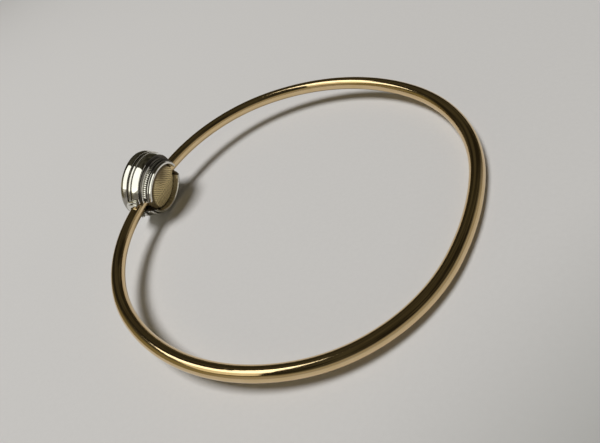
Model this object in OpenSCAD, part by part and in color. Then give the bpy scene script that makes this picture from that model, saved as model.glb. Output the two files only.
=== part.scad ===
// Rigid bangle of round gold wire that carries one ribbed silver drum.
// It is stored as it rests: the drum's widest ribs and the far side of the hoop touch Z = 0.
// X runs through the drum, which sits at -X, and Z is up. Millimetres throughout.

/* [Hoop] */
// Diameter of the round wire
wire_d = 2.4; // [2.2:0.1:2.6]
// Inside width of the hoop along the line that runs through the drum
inner_along = 60.4; // [58:0.2:62]
// Inside width of the hoop across the line that runs through the drum
inner_across = 60.4; // [59:0.2:62]

/* [Drum] */
// Largest diameter of the drum, over its ribs
drum_d = 13.6; // [13.2:0.1:14]
// Turn of the drum about the wire, which lifts its outer face
drum_turn = 15; // [0:1:17]
// Rise of the drum's outer face from its edge to its middle
dome_rise = 0.9; // [0.6:0.1:1.4]
// Thickness of the drum's wall at its open back
wall = 0.75; // [0.6:0.05:0.9]
// Small beads that a whole turn of the drum would hold
bead_count = 82; // [64:1:86]

/* [Pad] */
// Depth of the pad's face inside the drum's open back
pad_depth = 1.2; // [1.1:0.05:1.3]
// Thickness of the pad that the wire's ends flatten into
pad_t = 1.3; // [1.1:0.1:1.4]

/* [Hidden] */
$fn = 96;

// Clearance between gold and silver, and a cut that runs past a face
gap = 0.12;
past = 1;

// The hoop's corner arcs run this far into their neighbours, and are this much slimmer there
lap = 0.5;
lap_step = 0.01;

wire_r = wire_d / 2;
drum_r = drum_d / 2;

// Centreline in three arcs a quarter: flat by the drum, tight at the corner, wide at the ends.
// half_x and half_y are its half widths, and the two angles are where the arcs' normals change over.
half_x = inner_along / 2 + wire_r;
half_y = inner_across / 2 + wire_r;
flat_end = 10;
corner_end = 63;

// The end arc's radius is a share of the half width, and the other two arcs span what it leaves
end_share = 1.13;
end_r = end_share * half_y;
span_x = half_x - end_r * cos(corner_end);
span_y = half_y - end_r * (1 - sin(corner_end));
corner_cos = cos(flat_end) - cos(corner_end);
corner_sin = sin(corner_end) - sin(flat_end);
flat_r = (span_y * corner_cos - span_x * corner_sin)
    / (sin(flat_end) * corner_cos - (1 - cos(flat_end)) * corner_sin);
corner_r = (span_x - flat_r * (1 - cos(flat_end))) / corner_cos;

// Centres of the flat, corner and end arcs of the quarter at +X +Y
flat_c = [half_x - flat_r, 0];
corner_c = flat_c + (flat_r - corner_r) * [cos(flat_end), sin(flat_end)];
end_c = [0, half_y - end_r];

// Places along the drum's axis, outward from the wire's centre
rim_s = -2.78;
floor_s = 1.45;

// Ribs round the drum: from, to, drop of each of these edges below the drum's radius,
// and crown of the rounded top above the line between them
RIB_FROM = 0;
RIB_TO = 1;
RIB_FROM_DROP = 2;
RIB_TO_DROP = 3;
RIB_CROWN = 4;
ribs = [
    [1.78, 3.1, 0.15, 0.18, 0.16],
    [0.92, 1.42, 0.11, 0.11, 0.07],
    [-0.58, 0.82, 0.5, 0.22, 0.12],
    [-1.27, -1.08, 0.88, 0.83, 0.03],
    [-2.24, -2.05, 1.27, 1.22, 0.03],
];
face_rib = ribs[0];
back_rib = ribs[4];
face_s = face_rib[RIB_TO];
face_edge = drum_r - face_rib[RIB_TO_DROP];
back_s = back_rib[RIB_FROM];

// Core between the ribs, which tapers towards the back
core_drop = 0.42;
core_back_drop = 1.42;
core_r = drum_r - core_drop;
taper_s = 0.87;

// Lip round the open back, and the mouth inside it
lip_drop = 1.45;
lip_r = 0.3;
lip_ring = drum_r - lip_drop - lip_r;
lip_s = rim_s + lip_r;
mouth_drop = 1.3;
mouth_r = drum_r - mouth_drop - wall;

// Row of long beads in a channel between the last two ribs, which lie across the row.
// Row and channel both stop short of the wire by an angle.
bead_r = 0.19;
bead_half = 0.36;
bead_tip_r = 0.1;
bead_tip = 0.14;
bead_s = -1.66;
bead_drop = 1.25;
bead_end = 24;
channel_half = 0.42;
channel_drop = 1.4;
channel_end = 21;

// Half collar where the wire enters the drum, from inside its wall to outside it
collar_r = 1.98;
collar_bed = 1.2;
collar_reach = 0.6;
collar_ring = 0.26;
collar_cut = -0.5;

// Pad inside the drum
pad_r = mouth_r - gap;
pad_s = rim_s + pad_depth;

// Circle of a rib's rounded top, in the half section: radius, and centre as radius and place
function rib_from(rib) = [drum_r - rib[RIB_FROM_DROP], rib[RIB_FROM]];
function rib_to(rib) = [drum_r - rib[RIB_TO_DROP], rib[RIB_TO]];
function rib_line(rib) = rib_to(rib) - rib_from(rib);
function crown_r(rib) = norm(rib_line(rib)) ^ 2 / (8 * rib[RIB_CROWN]) + rib[RIB_CROWN] / 2;
function crown_c(rib) = (rib_from(rib) + rib_to(rib)) / 2
    - (crown_r(rib) - rib[RIB_CROWN]) * [rib_line(rib)[1], -rib_line(rib)[0]] / norm(rib_line(rib));

// How far a leaning drum reaches below its centre: at its ribs, and at its lip
function rib_low_s(rib, lean) =
    min(rib[RIB_TO], max(rib[RIB_FROM], crown_c(rib)[1] - crown_r(rib) * sin(lean)));
function crown_at(rib, s) = crown_c(rib)[0] + sqrt(crown_r(rib) ^ 2 - (s - crown_c(rib)[1]) ^ 2);
function rib_reach(rib, lean) =
    crown_at(rib, rib_low_s(rib, lean)) * cos(lean) - rib_low_s(rib, lean) * sin(lean);
function lip_reach(lean) = lip_ring * cos(lean) - lip_s * sin(lean) + lip_r;
function reach(lean) = max(lip_reach(lean), max([for (rib = ribs) rib_reach(rib, lean)]));

// Tilt at rest, with the drum's ribs and the far side of the wire on the surface
first_tilt = 5;
tilt_rounds = 6;
function settle(tilt, rounds) = rounds == 0 ? tilt
    : settle(asin((reach(drum_turn + tilt) - wire_r) / (2 * half_x)), rounds - 1);
rest_tilt = settle(first_tilt, tilt_rounds);
rest_z = half_x * sin(rest_tilt) + wire_r;

// Shift along X that centres the whole bangle, from the drum's outer edge to the far side
drum_lean = drum_turn + rest_tilt;
rest_x_shift = (face_s * cos(drum_lean) + face_edge * sin(drum_lean) - wire_r) / 2;

// The whole bangle as it lies at rest
module at_rest() {
    translate([rest_x_shift, 0, rest_z])
        rotate([0, rest_tilt, 0])
            children();
}

// Drum frame: Z runs outward along the drum's axis, Y along the wire and X up
module at_drum() {
    translate([-half_x, 0, 0])
        rotate([0, drum_turn - 90, 0])
            children();
}

// Ring segment of round bar about a centre, between two directions
module bar_arc(centre, radius, bar_r, from, to) {
    translate([centre[0], centre[1], 0])
        rotate([0, 0, from])
            rotate_extrude(angle = to - from)
                translate([radius, 0])
                    circle(r = bar_r);
}

// Whole ring of round bar
module ring_bar(bar_r) {
    for (side = [0, 180]) {
        rotate([0, 0, side]) {
            bar_arc(flat_c, flat_r, bar_r, -flat_end, flat_end);
            bar_arc(corner_c, corner_r, bar_r - lap_step, flat_end - lap, corner_end + lap);
            bar_arc(end_c, end_r, bar_r, corner_end, 180 - corner_end);
            mirror([1, 0, 0])
                bar_arc(corner_c, corner_r, bar_r - lap_step, flat_end - lap, corner_end + lap);
        }
    }
}

// Gold wire, with the pad that its ends flatten into inside the drum
module hoop() {
    color("goldenrod")
        at_rest()
            union() {
                ring_bar(wire_r);
                at_drum()
                    translate([0, 0, pad_s])
                        cylinder(r = pad_r, h = pad_t);
            }
}

// Section of one rib: a bar on the drum's core, a hair below its edges, and its rounded top
module rib_section(rib) {
    hair = [lap_step, 0];
    polygon([
        [mouth_r, rib[RIB_FROM]],
        rib_from(rib) - hair,
        rib_to(rib) - hair,
        [mouth_r, rib[RIB_TO]],
    ]);
    intersection() {
        translate([mouth_r, rib[RIB_FROM]])
            square([drum_r, rib[RIB_TO] - rib[RIB_FROM]]);
        translate(crown_c(rib))
            circle(r = crown_r(rib));
    }
}

// Half section of the drum, right of its axis
module drum_section() {
    dome_r = (face_edge * face_edge + dome_rise * dome_rise) / (2 * dome_rise);
    polygon([
        [0, floor_s],
        [mouth_r, floor_s],
        [mouth_r, lip_s],
        [lip_ring, lip_s],
        [drum_r - core_back_drop, back_s],
        [core_r, taper_s],
        [core_r, face_s],
        [0, face_s],
    ]);
    translate([lip_ring, lip_s])
        circle(r = lip_r);
    for (rib = ribs) {
        rib_section(rib);
    }
    intersection() {
        translate([0, face_s])
            square([face_edge, dome_rise]);
        translate([0, face_s + dome_rise - dome_r])
            circle(r = dome_r);
    }
}

// Ring-shaped tool for the bead channel, between two directions
module channel_arc(from, to) {
    channel_floor = drum_r - channel_drop;
    rotate([0, 0, from])
        rotate_extrude(angle = to - from)
            translate([channel_floor, bead_s - channel_half])
                square([past, 2 * channel_half]);
    for (turn = [from, to]) {
        rotate([0, 0, turn])
            translate([channel_floor, 0, bead_s])
                rotate([0, 90, 0])
                    cylinder(r = channel_half, h = past);
    }
}

// One long bead with tapered ends
module bead() {
    shoulder = bead_half - bead_tip;
    rotate_extrude()
        polygon([
            [0, -bead_half],
            [bead_tip_r, -bead_half],
            [bead_r, -shoulder],
            [bead_r, shoulder],
            [bead_tip_r, bead_half],
            [0, bead_half],
        ]);
}

// Beads of one channel
module bead_row(from, to) {
    step = 360 / bead_count;
    steps = floor((to - from) / step);
    start = (from + to - steps * step) / 2;
    for (i = [0:steps]) {
        rotate([0, 0, start + i * step])
            translate([drum_r - bead_drop, 0, bead_s])
                bead();
    }
}

// Collar round the outer half of the wire, with a rolled ring at its root
module collar() {
    intersection() {
        rotate([-90, 0, 0])
            union() {
                cylinder(r = collar_r, h = drum_r + collar_reach);
                translate([0, 0, drum_r])
                    rotate_extrude()
                        translate([collar_r, 0])
                            circle(r = collar_ring);
            }
        translate([-drum_r, drum_r - collar_bed, collar_cut])
            cube(drum_d);
    }
}

// Room for the wire and its way out through the back edge
module wire_notch() {
    rotate([0, 90 - drum_turn, 0])
        translate([half_x, 0, 0])
            rotate([0, 0, 180])
                bar_arc(flat_c, flat_r, wire_r + gap, -flat_end, flat_end);
    translate([-wire_r - gap, -drum_d, rim_s - past])
        cube([2 * (wire_r + gap), 2 * drum_d, past - rim_s]);
}

// Silver drum: ribs, bead row, domed outer face, open back and a notch for the wire
module drum() {
    color("gainsboro")
        at_rest()
            at_drum()
                union() {
                    difference() {
                        union() {
                            rotate_extrude()
                                drum_section();
                            for (side = [0, 180]) {
                                rotate([0, 0, side])
                                    collar();
                            }
                        }
                        translate([0, 0, rim_s - past])
                            cylinder(r = mouth_r, h = floor_s - rim_s + past);
                        wire_notch();
                        for (side = [0, 180]) {
                            rotate([0, 0, side])
                                channel_arc(channel_end - 90, 90 - channel_end);
                        }
                    }
                    for (side = [0, 180]) {
                        rotate([0, 0, side])
                            bead_row(bead_end - 90, 90 - bead_end);
                    }
                }
}

hoop();
drum();
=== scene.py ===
import math
from collections import namedtuple

import bmesh
import bpy
from mathutils import Matrix, Vector


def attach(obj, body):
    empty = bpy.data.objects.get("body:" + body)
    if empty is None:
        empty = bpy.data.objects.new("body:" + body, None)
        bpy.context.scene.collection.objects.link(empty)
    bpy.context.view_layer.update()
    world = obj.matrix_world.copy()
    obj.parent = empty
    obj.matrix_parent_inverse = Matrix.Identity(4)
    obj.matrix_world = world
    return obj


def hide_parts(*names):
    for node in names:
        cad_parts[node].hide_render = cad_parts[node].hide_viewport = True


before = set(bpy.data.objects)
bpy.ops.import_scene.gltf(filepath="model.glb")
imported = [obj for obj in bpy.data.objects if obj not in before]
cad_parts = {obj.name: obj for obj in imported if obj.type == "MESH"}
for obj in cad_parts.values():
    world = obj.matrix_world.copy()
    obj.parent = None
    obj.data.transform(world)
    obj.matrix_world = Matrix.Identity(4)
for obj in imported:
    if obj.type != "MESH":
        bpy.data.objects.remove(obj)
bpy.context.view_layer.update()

# Lengths are millimetres, as in the CAD, and MM turns them into metres. The light panels' are metres
MM = 0.001

# Names of the two pieces
GOLD_HOOP = "gold_hoop"
SILVER_DRUM = "silver_drum"

# Hoop: the wire, half the hoop's width to the wire's centre, and three arcs a quarter, to these directions
WIRE_R = 1.2
HALF = 31.4
FLAT_END = 10
CORNER_END = 63
END_R = 1.13 * HALF
HOOP_STEPS = 360
WIRE_STEPS = 48

# Drum: places along its axis count outward from the wire's centre
DRUM_R = 6.8
DRUM_TURN = 15
DRUM_ASKEW = 5
DOME_RISE = 0.9
FACE_S = 3.1
FACE_EDGE = 6.62
CORE_R = 6.38
CORE_BACK_R = 5.38
CORE_BACK_S = -2.24
TAPER_S = 0.87
LIP_RING = 5.05
LIP_R = 0.26
LIP_S = -2.48
LIP_SQUARE = 0.62
MOUTH_R = 4.75
FLOOR_S = 1.45
FLOOR_DIP = 0.02
FLOOR_EDGE = 0.05
FLOOR_FLAT = 0.6 * MOUTH_R

# Ribs round the drum: two places along its axis, how far each is under DRUM_R, and the rounded top's crown
Rib = namedtuple("Rib", "start end start_drop end_drop crown")
RIBS = (
    Rib(1.78, 3.1, 0.15, 0.18, 0.16),
    Rib(0.92, 1.42, 0.11, 0.11, 0.07),
    Rib(-0.58, 0.82, 0.5, 0.22, 0.12),
    Rib(-1.27, -1.08, 0.88, 0.83, 0.03),
    Rib(-2.24, -2.05, 1.27, 1.22, 0.03),
)

# How fine the drum's outline is, how far apart its points end up, how often its corners are worn round, and
# the angle from which an edge of the cut drum stays sharp
DOME_STEPS = 15
SIDE_STEP = 0.01
LIP_STEPS = 18
MOUTH_STEPS = 12
PROFILE_STEP = 0.05
SOFTEN = 2
SHARP_ANGLE = 40

# Directions of the drum's points: even round it, and closer on both sides of each end of a channel
DRUM_STEPS = 180
END_STEP = 0.5
END_STEPS = 9

# Notch for the wire: the room round it, and the slot from there out through the open back
GAP = 0.12
NOTCH_STEPS = 12
SLOT_FROM = -0.2
SLOT_PAST = 1

# Long, flat beads that lie across their row, and the channel with round ends that holds them
BEAD_RISE = 0.15
BEAD_R = 0.205
BEAD_HALF = 0.33
BEAD_S = -1.52
BEAD_RING = 5.55
BEAD_COUNT = 82
BEAD_END = 24
BEAD_FINENESS = 3
CHANNEL_S = -1.66
CHANNEL_HALF = 0.42
CHANNEL_END = 21
CHANNEL_FLOOR = 5.4
CHANNEL_LIP = 5.71
CHANNEL_SLOPE = 0.32
CHANNEL_WALL = 0.05
CHANNEL_BAND = 0.1

# Collar where the wire enters the drum: place along the wire and radius round it
COLLAR_PROFILE = (
    (5.4, 2.0), (6.3, 2.0), (6.36, 2.24), (6.48, 2.38), (6.62, 2.38), (6.74, 2.24), (6.79, 1.98),
    (6.84, 1.84), (6.9, 1.9), (6.99, 1.98), (7.1, 1.94), (7.18, 1.8), (7.22, 1.6), (7.22, 1.0),
)
COLLAR_R = 2.42
COLLAR_STEPS = 96
COLLAR_CUT = -0.5

# Pad inside the drum, and the places along the wire between which its flank sinks into the face
PAD_R = 4.63
PAD_S = -1.58
PAD_BACK_S = -0.28
PAD_EDGE = 0.12
PAD_CROWN = 0.1
PAD_SKIN = 0.01
NECK_FROM = 3.4
NECK_TO = 4.8
NECK_FILLET = 0.4
WIRE_UNDER = 0.03
PAD_RINGS = 44
PAD_STEPS = 144
EDGE_STEPS = 3

# Metals: colour where bright and where worn, roughness of each, and depth of the waves and scratches
Metal = namedtuple("Metal", "name tone worn_tone rough worn_rough wave scratch")
GOLD = Metal("polished_gold", (0.80, 0.61, 0.36), (0.76, 0.57, 0.31), 0.07, 0.14, 0.02, 0.0006)
# The second silver is tarnish in the grooves and painted shade over half of the bead row; the third is
# painted shade in the mouth and by the wire
SILVERS = (
    Metal("polished_silver", (0.88, 0.87, 0.82), (0.76, 0.75, 0.70), 0.05, 0.12, 0.012, 0.0008),
    Metal("tarnish_and_shade_silver", (0.16, 0.15, 0.13), (0.07, 0.065, 0.055), 0.3, 0.45, 0.01, 0.001),
    Metal("shade_painted_silver", (0.42, 0.40, 0.36), (0.26, 0.245, 0.215), 0.16, 0.3, 0.01, 0.001),
)
POLISHED, TARNISH_AND_SHADE, PAINTED_SHADE = range(len(SILVERS))

# How far a face's middle may lie off a surface that it belongs to, and the radius inside which no face is
# part of the drum's side
NEAR = 0.02
HOLLOW_R = LIP_RING + 0.1

# Tarnish: how far under the ribs' tops a groove turns dark, and how near a rib counts
GROOVE_DROP = 0.15
RIB_REACH = 0.4

# Painted shade over half of the bead row, in the dark silver that is also the grooves' tarnish: places along
# the drum's axis, and the wavy line where it ends
BEADS_SHADE_FROM = -0.42
BEADS_SHADE_TO = -2.4
BEADS_SHADE_Y = -0.9
BEADS_SHADE_WAVE = 0.7
BEADS_SHADE_RATE = 9

# Painted shade by the wire, in the darker silver: within this height of it, more of it outward, and past
# this place along it
WIRE_SHADE_X = 3.6
WIRE_SHADE_GROWTH = 0.25
WIRE_SHADE_Y = 3.4

# Filed gold of the pad: its number among the hoop's metals, strokes by angle and pitch, low and high on the
# pad, the heights between which one kind gives way to the other, and how a stroke is cut
FILED = 1
LOW_STROKES = (-8, 0.42)
HIGH_STROKES = (40, 0.44)
STROKES_MEET = (3.6, 5.6)
STROKE_WALL = (0.24, 0.46)
STROKE_DEPTH = 0.03
CUT_TONE = (0.48, 0.33, 0.14)
FILED_TONE = (1.0, 0.84, 0.46)
FILED_ROUGH = (0.42, 0.55)
FILED_METALLIC = 0.25

# A patch of painted shade on the pad and the painted shade along its far edge: middle, distances, share and
# colour
PATCH_SHADE_AT = (2.4, 1.6, PAD_S)
PATCH_SHADE_REACH = (0.6, 3.0)
PATCH_SHADE_SHARE = 0.85
PATCH_SHADE_TONE = (0.14, 0.09, 0.03)
SHADE_AT = (-1.55, 1.09, PAD_S)
SHADE_REACH = (4.15, 4.5)
SHADE_SHARE = 0.9
SHADE_TONE = (0.10, 0.065, 0.02)

# How the bangle lies: tilt, height of the hoop's centre and the shift that centres it
REST_TILT = 4.534
REST_Z = 3.682
REST_SHIFT = 1.97

# Camera of the photograph
CAMERA_AT = (50.191, -43.493, 54.438)
CAMERA_TURN = (43.522, 23.621, 24.863)
LENS = 28.5
SENSOR = 36
CLIP_START = 0.005

# Paper under the bangle: half its width, its grain, and the way, distances and tone of the painted shadow
# that darkens it
SHEET_HALF = 600
PAPER_TONES = ((0.75, 0.745, 0.745), (0.79, 0.785, 0.785))
GRAIN_DEPTH = 0.05
PAINTED_SHADOW_WAY = (0.864, -0.503, 0)
PAINTED_SHADOW_REACH = (36, 60)
PAINTED_SHADOW_POWER = 1.7
PAINTED_SHADOW_TONE = (0.50, 0.505, 0.495)

# Light panels: centre and size in metres, degrees of tilt, radiance, colour and the one piece that it lights
Panel = namedtuple("Panel", "name centre size tilt radiance colour lit")
PANELS = (
    Panel("window_right", (-0.175, -0.0825, 0.5), (0.15, 0.285), 0, 2.0, (1.0, 1.0, 0.96), GOLD_HOOP),
    Panel("window_left", (-0.355, -0.1325, 0.5), (0.21, 0.185), 0, 2.0, (1.0, 1.0, 0.96), GOLD_HOOP),
    Panel("window_near", (-0.275, -0.4125, 0.5), (0.35, 0.375), 0, 0.8, (1.0, 0.94, 0.76), GOLD_HOOP),
    Panel("key", (-0.21, -0.09, 1.0), (0.42, 0.42), 0, 13.2, (1.0, 0.99, 0.975), None),
    Panel("drum_light", (0.0085, -0.148, 0.267), (0.435, 0.51), 32.5, 1.25, (1.0, 0.995, 0.92), SILVER_DRUM),
)

# Room: its two tones, and low glows by side, the facing shares and heights that each fades over, and tone
ROOM_TONES = ((0.016, 0.014, 0.009), (0.055, 0.050, 0.032))
Glow = namedtuple("Glow", "side facing heights tone")
GLOWS = (
    Glow((-0.59, -0.81, 0), (0.45, 0.8), (0.45, 0.7), (0.22, 0.19, 0.10)),
    Glow((0.87, -0.5, 0), (-0.1, 0.3), (0.3, 0.55), (0.34, 0.32, 0.27)),
)

# Sockets of Blender's Mix node, whose names repeat: the share, then both inputs and the output of each kind
MIX_SHARE = 0
MIX_NUMBERS = (2, 3, 0)
MIX_COLOURS = (6, 7, 2)

# Length of one band of Blender's wave texture at a scale of 1
WAVE_BAND = 2 * math.pi / 20


def turned(degrees):
    """Rotation about the wire's direction at the drum."""
    return Matrix.Rotation(math.radians(degrees), 4, "Y")


AT_REST = Matrix.Translation((REST_SHIFT, 0, REST_Z)) @ turned(REST_TILT)
AT_DRUM = (
    AT_REST @ Matrix.Translation((-HALF, 0, 0))
    @ Matrix.Rotation(math.radians(DRUM_ASKEW), 4, "Z") @ turned(DRUM_TURN - 90)
)
INTO_DRUM = AT_DRUM.inverted()
HOOP_IN_DRUM = INTO_DRUM @ AT_REST


# Shapes shared by the pieces


def direction(degrees):
    """Unit vector in the XY plane."""
    return Vector((math.cos(math.radians(degrees)), math.sin(math.radians(degrees)), 0))


def smooth_share(value, start, end):
    """Share from 0 to 1 that eases in and out between two values."""
    share = min(1, max(0, (value - start) / (end - start)))
    return share * share * (3 - 2 * share)


def linked(name, data):
    """New object in the scene."""
    thing = bpy.data.objects.new(name, data)
    bpy.context.scene.collection.objects.link(thing)
    return thing


def new_object(name, vertices, faces, place):
    """Smooth mesh object from local millimetre points."""
    mesh = bpy.data.meshes.new(name)
    mesh.from_pydata([place @ Vector(v) * MM for v in vertices], [], faces)
    mesh.polygons.foreach_set("use_smooth", [True] * len(faces))
    return linked(name, mesh)


def ring_faces(rings, steps, closed=False):
    """Quads between rings of points that each close on themselves."""
    return [
        (
            i * steps + j,
            i * steps + (j + 1) % steps,
            (i + 1) % rings * steps + (j + 1) % steps,
            (i + 1) % rings * steps + j,
        )
        for i in range(rings if closed else rings - 1)
        for j in range(steps)
    ]


def tube_faces(rings, steps):
    """Quads between rings of points, and a face over each end."""
    last = (rings - 1) * steps
    return ring_faces(rings, steps) + [tuple(reversed(range(steps))), tuple(range(last, last + steps))]


def flipped(faces):
    """Faces that look the other way."""
    return [tuple(reversed(face)) for face in faces]


def bake(thing):
    """Puts the result of an object's modifiers into its mesh."""
    bpy.context.view_layer.update()
    mesh = bpy.data.meshes.new_from_object(thing.evaluated_get(bpy.context.evaluated_depsgraph_get()))
    thing.modifiers.clear()
    thing.data = mesh


def cut(thing, tool):
    """Cuts the tool's shape out of an object."""
    cutting = thing.modifiers.new("cut", "BOOLEAN")
    cutting.operation = "DIFFERENCE"
    cutting.solver = "EXACT"
    cutting.object = tool
    bake(thing)


def drained(together, name):
    """Mesh made of a bmesh, which is freed."""
    mesh = bpy.data.meshes.new(name)
    together.to_mesh(mesh)
    together.free()
    return mesh


def joined(things, name):
    """One object from several meshes."""
    together = bmesh.new()
    for thing in things:
        together.from_mesh(thing.data)
    mesh = drained(together, name)
    for thing in things:
        bpy.data.objects.remove(thing)
    return linked(name, mesh)


# Gold hoop


def hoop_arcs():
    """Centre and radius of the flat, corner and end arcs of the quarter at +X +Y."""
    flat, corner = direction(FLAT_END), direction(CORNER_END)
    span = Vector((HALF - END_R * corner.x, HALF - END_R * (1 - corner.y), 0))
    d_cos, d_sin = flat.x - corner.x, corner.y - flat.y
    flat_r = (span.y * d_cos - span.x * d_sin) / (flat.y * d_cos - (1 - flat.x) * d_sin)
    corner_r = (span.x - flat_r * (1 - flat.x)) / d_cos
    flat_c = Vector((HALF - flat_r, 0, 0))
    corner_c = flat_c + (flat_r - corner_r) * flat
    return (flat_c, flat_r), (corner_c, corner_r), (Vector((0, HALF - END_R, 0)), END_R)


HOOP_ARCS = hoop_arcs()
FLAT_ARC_R = HOOP_ARCS[0][1]


def hoop_point(degrees):
    """Point on the wire's centreline where its outward normal has this direction."""
    normal = direction(degrees)
    folded = math.degrees(math.atan2(abs(normal.y), abs(normal.x)))
    centre, radius = HOOP_ARCS[0 if folded < FLAT_END else 1 if folded < CORNER_END else 2]
    point = centre + radius * direction(folded)
    return Vector((math.copysign(point.x, normal.x), math.copysign(point.y, normal.y), 0))


def wire_points(radius, angles):
    """Rings of points round the hoop's centreline, one at each direction of its normal."""
    points = []
    for angle in angles:
        centre, normal = hoop_point(angle), direction(angle)
        for j in range(WIRE_STEPS):
            turn = 2 * math.pi * j / WIRE_STEPS
            points.append(centre + radius * Vector((*(math.cos(turn) * normal.xy), math.sin(turn))))
    return points


def sunk(point):
    """A point of the wire, kept under the pad's face where it passes behind it."""
    local = HOOP_IN_DRUM @ point
    if math.hypot(local.x, local.y) > PAD_R - PAD_EDGE or abs(local.z) > 2 * WIRE_R:
        return point
    local.z = max(local.z, pad_face(local.x, local.y) + WIRE_UNDER)
    return HOOP_IN_DRUM.inverted() @ local


def wire():
    """The round wire, all round the hoop."""
    points = wire_points(WIRE_R, [360 * i / HOOP_STEPS for i in range(HOOP_STEPS)])
    points = [sunk(point) for point in points]
    return new_object("wire", points, ring_faces(HOOP_STEPS, WIRE_STEPS, closed=True), AT_REST)


def pad_face(x, y):
    """Place of the pad's face along the drum's axis: the wire's flank rises out of it near the edge."""
    flat = PAD_S + PAD_CROWN * (x * x + y * y) / (PAD_R * PAD_R)
    middle = HOOP_IN_DRUM @ hoop_point(180 - math.degrees(math.asin(y / FLAT_ARC_R)))
    skin = WIRE_R + PAD_SKIN
    flank = middle.z - math.sqrt(max(0, skin * skin - (x - middle.x) ** 2))
    flank = max(flat, flank) + (flank - max(flat, flank)) * smooth_share(abs(y), NECK_FROM, NECK_TO)
    near = max(0, NECK_FILLET - abs(flat - flank)) / NECK_FILLET
    return min(flat, flank) - near * near * NECK_FILLET / 4


def pad():
    """The pad that the wire's ends flatten into, with a rounded edge."""
    turns = [math.pi / 2 * i / EDGE_STEPS for i in range(EDGE_STEPS + 1)]
    edge = [(PAD_R - PAD_EDGE * (1 - math.sin(turn)), PAD_EDGE * (1 - math.cos(turn))) for turn in turns]
    rings = [((PAD_R - PAD_EDGE) * i / PAD_RINGS, 0) for i in range(1, PAD_RINGS)]
    ways = [direction(360 * j / PAD_STEPS) for j in range(PAD_STEPS)]
    points = []
    for radius, drop in rings + edge:
        for way in ways:
            out = radius * way
            points.append((out.x, out.y, pad_face(out.x, out.y) + drop))
    points += [(*(PAD_R * way).xy, PAD_BACK_S) for way in ways]
    count = len(points) // PAD_STEPS
    points.append((0, 0, pad_face(0, 0)))
    faces = ring_faces(count, PAD_STEPS)
    faces += [((j + 1) % PAD_STEPS, j, len(points) - 1) for j in range(PAD_STEPS)]
    faces.append(tuple((count - 1) * PAD_STEPS + j for j in range(PAD_STEPS)))
    return new_object("pad", points, flipped(faces), AT_DRUM)


# Silver drum


def core_radius(s):
    """Radius of the drum between its ribs, which tapers to the lip round the open back."""
    taper = CORE_BACK_R + (CORE_R - CORE_BACK_R) * (s - CORE_BACK_S) / (TAPER_S - CORE_BACK_S)
    return max(LIP_RING + LIP_R, min(CORE_R, taper))


def rib_radius(rib, s):
    """Radius of a rib's rounded top."""
    share = (s - rib.start) / (rib.end - rib.start)
    slope = rib.end_drop - rib.start_drop
    return DRUM_R - rib.start_drop - share * slope + 4 * rib.crown * share * (1 - share)


def side_radius(s):
    """Radius of the drum's side."""
    return max([core_radius(s)] + [rib_radius(rib, s) for rib in RIBS if rib.start <= s <= rib.end])


def corner_line():
    """The drum's half section as a line of (radius, place) from the dome to the lip, with sharp corners."""
    dome_r = (FACE_EDGE * FACE_EDGE + DOME_RISE * DOME_RISE) / (2 * DOME_RISE)
    line = []
    for i in range(1, DOME_STEPS + 1):
        radius = FACE_EDGE * i / DOME_STEPS
        line.append((radius, FACE_S + DOME_RISE - dome_r + math.sqrt(dome_r ** 2 - radius ** 2)))
    s = FACE_S
    while s > LIP_S:
        line.append((side_radius(s), s))
        s -= SIDE_STEP
    for i in range(LIP_STEPS + 1):
        turn = math.pi * i / LIP_STEPS
        out = math.copysign(abs(math.cos(turn)) ** LIP_SQUARE, math.cos(turn))
        line.append((LIP_RING + LIP_R * out, LIP_S - LIP_R * abs(math.sin(turn)) ** LIP_SQUARE))
    return line


def evenly(line, step):
    """Points at even steps along a line."""
    out, left = [line[0]], step
    for (r0, s0), (r1, s1) in zip(line, line[1:]):
        length = math.hypot(r1 - r0, s1 - s0)
        walked = 0
        while length - walked >= left:
            walked += left
            share = walked / length
            out.append((r0 + (r1 - r0) * share, s0 + (s1 - s0) * share))
            left = step
        left -= length - walked
    return out


def softened(line, rounds):
    """A line with its corners worn round."""
    for _ in range(rounds):
        inner = [
            tuple((a + 2 * b + c) / 4 for a, b, c in zip(before, here, after))
            for before, here, after in zip(line, line[1:], line[2:])
        ]
        line = [line[0], *inner, line[-1]]
    return line


def drum_columns():
    """Directions of the drum's columns of points, closer together at the channels' ends."""
    angles = {360 * i / DRUM_STEPS for i in range(DRUM_STEPS)}
    for end in (90 - CHANNEL_END, 90 + CHANNEL_END, 270 - CHANNEL_END, 270 + CHANNEL_END):
        angles.update(round(end + END_STEP * (i + 0.5), 3) for i in range(-END_STEPS, END_STEPS))
    return sorted(angles)


def side_of_row(angle):
    """Angle from the middle of the nearer bead row."""
    return abs((angle + 90) % 180 - 90)


def channelled(radius, s, angle):
    """Radius of the side once the band between the last ribs is filled and the channel cut in it."""
    *_, front, back = RIBS
    if not back.end - CHANNEL_BAND < s < front.start + CHANNEL_BAND:
        return radius
    past_end = max(0, math.radians(side_of_row(angle) - (90 - CHANNEL_END)) * BEAD_RING)
    inside = CHANNEL_HALF - math.hypot(past_end, s - CHANNEL_S)
    filled = max(radius, CHANNEL_LIP + CHANNEL_SLOPE * (s - CHANNEL_S))
    return filled + (CHANNEL_FLOOR - filled) * smooth_share(inside, -CHANNEL_WALL, CHANNEL_WALL)


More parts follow.
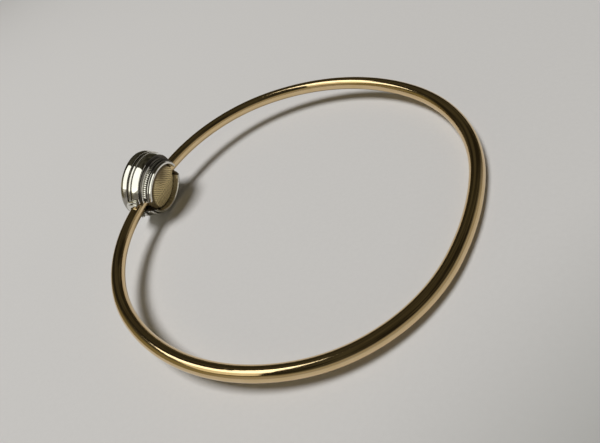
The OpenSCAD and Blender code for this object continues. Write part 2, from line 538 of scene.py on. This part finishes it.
def drum_shell():
    """The drum as turned: domed face, ribs, lip, mouth and floor."""
    side = softened(evenly(corner_line(), PROFILE_STEP), SOFTEN)
    mouth = [(MOUTH_R, LIP_S + (FLOOR_S - LIP_S) * i / MOUTH_STEPS) for i in range(1, MOUTH_STEPS + 1)]
    floor = [(MOUTH_R - FLOOR_EDGE, FLOOR_S + FLOOR_DIP), (FLOOR_FLAT, FLOOR_S + FLOOR_DIP)]
    columns = drum_columns()
    points = []
    for radius, s in side + mouth + floor:
        on_side = radius > LIP_RING and s < 0
        for angle in columns:
            out = (channelled(radius, s, angle) if on_side else radius) * direction(angle)
            points.append((out.x, out.y, s))
    faces = tube_faces(len(points) // len(columns), len(columns))
    return new_object("drum_shell", points, flipped(faces), AT_DRUM)


def notch_tool():
    """Room for the wire and its way out through the drum's open back."""
    angles = [180 + FLAT_END * i / NOTCH_STEPS for i in range(-NOTCH_STEPS, NOTCH_STEPS + 1)]
    points = wire_points(WIRE_R + GAP, angles)
    return new_object("notch_tool", points, flipped(tube_faces(len(angles), WIRE_STEPS)), AT_REST)


def slot_tool():
    """Straight slot from the wire's room out through the back edge."""
    half, past, depth = WIRE_R + GAP, DRUM_R + SLOT_PAST, LIP_S - 2 * LIP_R
    outline = ((-half, -past), (half, -past), (half, past), (-half, past))
    corners = [(x, y, s) for s in (depth, SLOT_FROM) for x, y in outline]
    return new_object("slot_tool", corners, tube_faces(2, len(outline)), AT_DRUM)


def collar(side):
    """Collar round the outer half of the wire: a rolled ring and a rounded end."""
    points = []
    for y, radius in COLLAR_PROFILE:
        for j in range(COLLAR_STEPS):
            turn = 2 * math.pi * j / COLLAR_STEPS
            points.append((radius * math.cos(turn), side * y, max(COLLAR_CUT, radius * math.sin(turn))))
    faces = tube_faces(len(COLLAR_PROFILE), COLLAR_STEPS)
    return new_object("collar", points, flipped(faces) if side > 0 else faces, AT_DRUM)


def beads():
    """Both rows of long beads."""
    together = bmesh.new()
    step = 360 / BEAD_COUNT
    steps = int((180 - 2 * BEAD_END) // step)
    shape = Matrix.Translation((BEAD_RING, 0, BEAD_S)) @ Matrix.Diagonal((BEAD_RISE, BEAD_R, BEAD_HALF, 1))
    for middle in (0, 180):
        for i in range(steps + 1):
            angle = math.radians(middle + (i - steps / 2) * step)
            place = Matrix.Scale(MM, 4) @ AT_DRUM @ Matrix.Rotation(angle, 4, "Z") @ shape
            bmesh.ops.create_icosphere(together, subdivisions=BEAD_FINENESS, radius=1, matrix=place)
    for face in together.faces:
        face.smooth = True
    return linked("beads", drained(together, "beads"))


def drum_piece():
    """The whole silver drum."""
    tools = [notch_tool(), slot_tool()]
    parts = [drum_shell(), collar(-1), collar(1)]
    for part in parts:
        for tool in tools:
            cut(part, tool)
    for tool in tools:
        bpy.data.objects.remove(tool)
    return joined([*parts, beads()], SILVER_DRUM)


def finish_of(centre):
    """Which of the silvers a face of the drum gets."""
    local = INTO_DRUM @ (centre / MM)
    radius = math.hypot(local.x, local.y)
    # Painted shade: the mouth's inner wall takes the darker silver
    if radius < MOUTH_R + NEAR and LIP_S < local.z < FLOOR_S + FLOOR_DIP + NEAR:
        return PAINTED_SHADE
    # Painted shade: half of the bead row takes the dark silver
    if in_beads_shade(local, radius):
        return TARNISH_AND_SHADE
    if is_bead(local, radius):
        return POLISHED
    if in_groove(local.z, radius):
        return TARNISH_AND_SHADE
    # Painted shade by the wire, bright silver elsewhere
    return PAINTED_SHADE if in_wire_shade(local, radius) else POLISHED


def in_beads_shade(local, radius):
    """Whether a place is in the half of the bead row that gets painted shade."""
    edge = BEADS_SHADE_Y + BEADS_SHADE_WAVE * math.sin(BEADS_SHADE_RATE * local.z)
    return radius > LIP_RING + LIP_R and BEADS_SHADE_TO < local.z < BEADS_SHADE_FROM and local.y > edge


def is_bead(local, radius):
    """Whether a place is on a bead."""
    row_end = BEAD_RING * math.sin(math.radians(CHANNEL_END))
    in_row = abs(local.z - BEAD_S) < BEAD_HALF and abs(local.x) > row_end
    return in_row and radius > BEAD_RING - NEAR


def in_groove(s, radius):
    """Whether a place on the drum's side lies low between its ribs."""
    if LIP_S < s < CORE_BACK_S + NEAR:
        return radius > LIP_RING + LIP_R + NEAR
    if not CORE_BACK_S < s < RIBS[0].start or radius < HOLLOW_R:
        return False
    near = [rib for rib in RIBS if rib.start - RIB_REACH < s < rib.end + RIB_REACH]
    return radius < max(rib_radius(rib, min(max(s, rib.start), rib.end)) for rib in near) - GROOVE_DROP


def in_wire_shade(local, radius):
    """Whether a place on the drum's side gets painted shade by the wire, outside the collar."""
    near = abs(local.x) < WIRE_SHADE_X + WIRE_SHADE_GROWTH * local.z and abs(local.y) > WIRE_SHADE_Y
    on_collar = math.hypot(local.x, local.z) < COLLAR_R
    return near and not on_collar and CORE_BACK_R < radius and local.z < FACE_S


# Materials


def feed(tree, node, inputs):
    """Sets a node's inputs to values, or links them."""
    for name, value in inputs.items():
        if isinstance(value, bpy.types.NodeSocket):
            tree.links.new(value, node.inputs[name])
        else:
            node.inputs[name].default_value = value


def add_node(tree, kind, inputs=(), **settings):
    """A shader node with its settings, and its inputs set or linked."""
    made = tree.nodes.new(kind)
    for name, value in settings.items():
        setattr(made, name, value)
    feed(tree, made, dict(inputs))
    return made


def new_material(name):
    """A material, its node tree and its shader."""
    material = bpy.data.materials.new(name)
    material.use_nodes = True
    return material, material.node_tree, material.node_tree.nodes["Principled BSDF"]


def millimetres(tree, turn=(0, 0, 0), stretch=(1, 1, 1)):
    """Object coordinates in millimetres, turned and stretched."""
    place = add_node(tree, "ShaderNodeTexCoord").outputs["Object"]
    scale = tuple(share / MM for share in stretch)
    mapping = add_node(tree, "ShaderNodeMapping", {"Vector": place, "Rotation": turn, "Scale": scale})
    return mapping.outputs["Vector"]


def noise(tree, place, scale, detail):
    """Soft noise, with so many features to each unit of the place."""
    texture = add_node(tree, "ShaderNodeTexNoise", {"Vector": place, "Scale": scale, "Detail": detail})
    return texture.outputs["Fac"]


def ranged(tree, value, source, target=(0, 1)):
    """A value mapped from one range to another."""
    return add_node(tree, "ShaderNodeMapRange", {
        "Value": value,
        "From Min": source[0], "From Max": source[1],
        "To Min": target[0], "To Max": target[1],
    }).outputs["Result"]


def blended(tree, share, first, second):
    """Mix of two colours, each a link or three numbers."""
    first, second = (c if isinstance(c, bpy.types.NodeSocket) else (*c, 1) for c in (first, second))
    into_first, into_second, out = MIX_COLOURS
    inputs = {MIX_SHARE: share, into_first: first, into_second: second}
    return add_node(tree, "ShaderNodeMix", inputs, data_type="RGBA").outputs[out]


def mixed(tree, share, first, second):
    """Mix of two values."""
    into_first, into_second, out = MIX_NUMBERS
    inputs = {MIX_SHARE: share, into_first: first, into_second: second}
    return add_node(tree, "ShaderNodeMix", inputs).outputs[out]


def combined(tree, operation, first, second):
    """Result of a Math node."""
    return add_node(tree, "ShaderNodeMath", {0: first, 1: second}, operation=operation).outputs[0]


def measured(tree, operation, place, other):
    """Value of a Vector Math node."""
    return add_node(tree, "ShaderNodeVectorMath", {0: place, 1: other}, operation=operation).outputs["Value"]


def bumped(tree, height, distance, strength=1.0, under=None):
    """Normal of a surface that a pattern raises, laid over another normal where one is given."""
    inputs = {"Height": height, "Strength": strength, "Distance": distance * MM}
    if under is not None:
        inputs["Normal"] = under
    return add_node(tree, "ShaderNodeBump", inputs).outputs["Normal"]


def metal(look):
    """Polished metal with uneven tone, fine scratches and a slight waviness of its surface."""
    material, tree, shader = new_material(look.name)
    place = millimetres(tree)
    worn = ranged(tree, noise(tree, place, scale=0.35, detail=4), source=(0.35, 0.7))
    drawn_out = millimetres(tree, turn=(0.3, 0.2, 0.6), stretch=(9, 0.5, 9))
    lines = noise(tree, drawn_out, scale=1.2, detail=3)
    waves = bumped(tree, noise(tree, place, scale=0.5, detail=1), look.wave)
    feed(tree, shader, {
        "Metallic": 1,
        "Base Color": blended(tree, worn, look.tone, look.worn_tone),
        "Roughness": ranged(tree, lines, source=(0.4, 0.75), target=(look.rough, look.worn_rough)),
        "Normal": bumped(tree, lines, look.scratch, under=waves),
    })
    return material


def filed_lines(tree, angle, pitch):
    """File strokes across the pad at an angle in the drum's frame."""
    flat = millimetres(tree, turn=(0, math.radians(90 - DRUM_TURN - REST_TILT), 0))
    across = add_node(tree, "ShaderNodeMapping", {"Vector": flat, "Rotation": (0, 0, math.radians(angle))})
    return add_node(tree, "ShaderNodeTexWave", {
        "Vector": across.outputs["Vector"], "Scale": WAVE_BAND / pitch,
        "Distortion": 4.0, "Detail": 2.0, "Detail Scale": 1.1,
    }, bands_direction="Y").outputs["Fac"]


def from_place(tree, place):
    """Distance in millimetres from a place given in the drum's frame."""
    return measured(tree, "DISTANCE", millimetres(tree), AT_DRUM @ Vector(place))


def filed_gold():
    """Gold of the pad, dulled by fine file strokes in two directions, with a patch of painted shade and
    painted shade along its far edge.
    """
    material, tree, shader = new_material("filed_gold")
    height = add_node(tree, "ShaderNodeSeparateXYZ", {"Vector": millimetres(tree)}).outputs["Z"]
    low = ranged(tree, height, STROKES_MEET, (1, 0))
    strokes = mixed(tree, low, filed_lines(tree, *HIGH_STROKES), filed_lines(tree, *LOW_STROKES))
    cut_in = ranged(tree, strokes, STROKE_WALL)
    # Painted shade: a dark patch on the pad, and a darker band along its far edge
    patch_shaded = ranged(tree, from_place(tree, PATCH_SHADE_AT), PATCH_SHADE_REACH, (PATCH_SHADE_SHARE, 0))
    shaded = ranged(tree, from_place(tree, SHADE_AT), SHADE_REACH, (0, SHADE_SHARE))
    tone = blended(tree, cut_in, CUT_TONE, FILED_TONE)
    tone = blended(tree, patch_shaded, tone, PATCH_SHADE_TONE)
    patch = noise(tree, millimetres(tree), scale=0.3, detail=2)
    feed(tree, shader, {
        "Metallic": FILED_METALLIC,
        "Base Color": blended(tree, shaded, tone, SHADE_TONE),
        "Roughness": ranged(tree, patch, source=(0.3, 0.7), target=FILED_ROUGH),
        "Normal": bumped(tree, cut_in, STROKE_DEPTH),
    })
    return material


def paper():
    """Plain pale paper with a faint grain, and a painted shadow that darkens it to one side."""
    material, tree, shader = new_material("paper")
    grain = noise(tree, millimetres(tree), scale=1.5, detail=4)
    white = blended(tree, grain, *PAPER_TONES)
    # Painted shadow: the paper's colour darkens along one way past a line
    shadow_share = ranged(tree, measured(tree, "DOT_PRODUCT", millimetres(tree), PAINTED_SHADOW_WAY), PAINTED_SHADOW_REACH)
    feed(tree, shader, {
        "Base Color": blended(tree, combined(tree, "POWER", shadow_share, PAINTED_SHADOW_POWER), white, PAINTED_SHADOW_TONE),
        "Roughness": 0.9,
        "Specular IOR Level": 0.2,
        "Normal": bumped(tree, grain, GRAIN_DEPTH, strength=0.3),
    })
    return material


# Pieces on the frame


def finished(piece, node, materials):
    """Puts a piece in the place of its CAD node."""
    for material in materials:
        piece.data.materials.append(material)
    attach(piece, "root")
    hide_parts(node)


def place_hoop():
    """Gold wire and filed pad in one piece."""
    round_wire, flat_pad = wire(), pad()
    filed_from = len(round_wire.data.polygons)
    hoop = joined([round_wire, flat_pad], GOLD_HOOP)
    finished(hoop, "hoop", [metal(GOLD), filed_gold()])
    for face in hoop.data.polygons[filed_from:]:
        face.material_index = FILED


def place_drum():
    """Silver drum, darkened by tarnish in its grooves and by painted shade in its mouth, by the wire and
    over half of the bead row.
    """
    drum = drum_piece()
    finished(drum, "drum", [metal(look) for look in SILVERS])
    for face in drum.data.polygons:
        face.material_index = finish_of(face.center)
    drum.data.set_sharp_from_angle(angle=math.radians(SHARP_ANGLE))


# Stage


def add_floor():
    """Large sheet of paper under the bangle."""
    corners = [(x * SHEET_HALF, y * SHEET_HALF, 0) for x, y in ((-1, -1), (1, -1), (1, 1), (-1, 1))]
    floor = new_object("paper_floor", corners, [(0, 1, 2, 3)], Matrix.Identity(4))
    floor.data.materials.append(paper())


def add_camera():
    """Camera at the photograph's viewing angle."""
    camera = linked("camera", bpy.data.cameras.new("camera"))
    camera.data.lens = LENS
    camera.data.sensor_width = SENSOR
    camera.data.clip_start = CLIP_START
    camera.location = Vector(CAMERA_AT) * MM
    camera.rotation_euler = [math.radians(turn) for turn in CAMERA_TURN]
    bpy.context.scene.camera = camera


def add_panel(panel):
    """Soft light panel that faces down, turned by its tilt."""
    light = bpy.data.lights.new(panel.name, "AREA")
    light.shape = "RECTANGLE"
    light.size, light.size_y = panel.size
    light.energy = panel.radiance * math.pi * light.size * light.size_y
    light.color = panel.colour
    thing = linked(panel.name, light)
    thing.location = panel.centre
    thing.rotation_euler = (math.radians(panel.tilt), 0, 0)
    if panel.lit:
        light_only(thing, panel.lit)


def light_only(thing, piece_name):
    """Keeps a panel's light to one piece."""
    lit = bpy.data.collections.new(thing.name + "_on")
    lit.objects.link(bpy.data.objects[piece_name])
    thing.light_linking.receiver_collection = lit


def add_lights():
    """Windows overhead to the left, warmer towards the viewer, a key light by them and one for the drum."""
    for panel in PANELS:
        add_panel(panel)
    bpy.data.objects["key"].visible_glossy = False


def add_world():
    """Dim, uneven room, light low down on the side away from the window and faintly at the front left."""
    world = bpy.data.worlds.new("room")
    bpy.context.scene.world = world
    world.use_nodes = True
    tree = world.node_tree
    way = add_node(tree, "ShaderNodeTexCoord").outputs["Generated"]
    height = add_node(tree, "ShaderNodeSeparateXYZ", {"Vector": way}).outputs["Z"]
    patches = ranged(tree, noise(tree, way, scale=3.5, detail=3), source=(0.42, 0.62))
    room = blended(tree, patches, *ROOM_TONES)
    for glow in GLOWS:
        low = ranged(tree, height, glow.heights, (1, 0))
        near = ranged(tree, measured(tree, "DOT_PRODUCT", way, glow.side), glow.facing)
        room = blended(tree, combined(tree, "MULTIPLY", low, near), room, glow.tone)
    tree.links.new(room, tree.nodes["Background"].inputs["Color"])


add_camera()
place_hoop()
place_drum()
add_floor()
add_lights()
add_world()
bpy.context.scene.view_settings.view_transform = "Standard"
